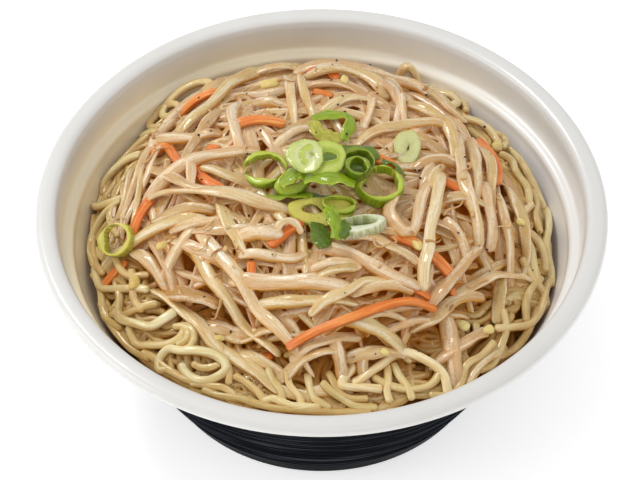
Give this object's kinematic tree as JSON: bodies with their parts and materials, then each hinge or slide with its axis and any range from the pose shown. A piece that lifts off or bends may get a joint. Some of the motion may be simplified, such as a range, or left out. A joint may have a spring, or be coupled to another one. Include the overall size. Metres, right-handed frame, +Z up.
{
  "type": "shoyu ramen",
  "caption": "Bowl of shoyu ramen noodles under stir-fried bean sprouts, carrot strips and scallion rings, in a flared takeaway bowl with a ledge for its lid.",
  "frame": {"origin": "middle of the foot ring's flat face on the ground", "axes": "+Z up through the middle of the bowl, -Y towards the eater, +X to the eater's right"},
  "size_m": [0.19, 0.19, 0.095],
  "materials": {
    "bowl": "satin, white inside and on the rim, black outside",
    "noodles": "moist boiled wheat noodle",
    "sprouts": "glossy cooked bean sprout",
    "carrot": "moist cooked carrot",
    "scallion": "fresh cut scallion"
  },
  "bodies": {
    "root": {"bowl": "bowl", "noodles": "noodles", "sprout_heap": "sprouts", "carrot_front": "carrot", "carrot_middle": "carrot", "carrot_left_inner": "carrot", "carrot_back_left": "carrot", "carrot_back_inner": "carrot", "carrot_left_upright": "carrot", "carrot_left_short": "carrot", "carrot_right_edge": "carrot", "carrot_left_edge": "carrot", "carrot_left_low": "carrot", "carrot_right_inner": "carrot", "carrot_back": "carrot", "scallion_back_band": "scallion", "scallion_right_band": "scallion", "scallion_white_band": "scallion", "scallion_left_leaf": "scallion", "scallion_dark_leaf": "scallion", "scallion_bright_leaf": "scallion", "scallion_at_wall": "scallion", "scallion_pale_slice": "scallion", "scallion_left_ring": "scallion", "scallion_right_ring": "scallion", "scallion_twisted_ring": "scallion", "scallion_outer_ring": "scallion", "scallion_coil": "scallion", "scallion_pale_disc": "scallion", "scallion_thick_ring": "scallion", "scallion_middle_ring": "scallion", "scallion_top_ring": "scallion"}
  },
  "joints": []
}
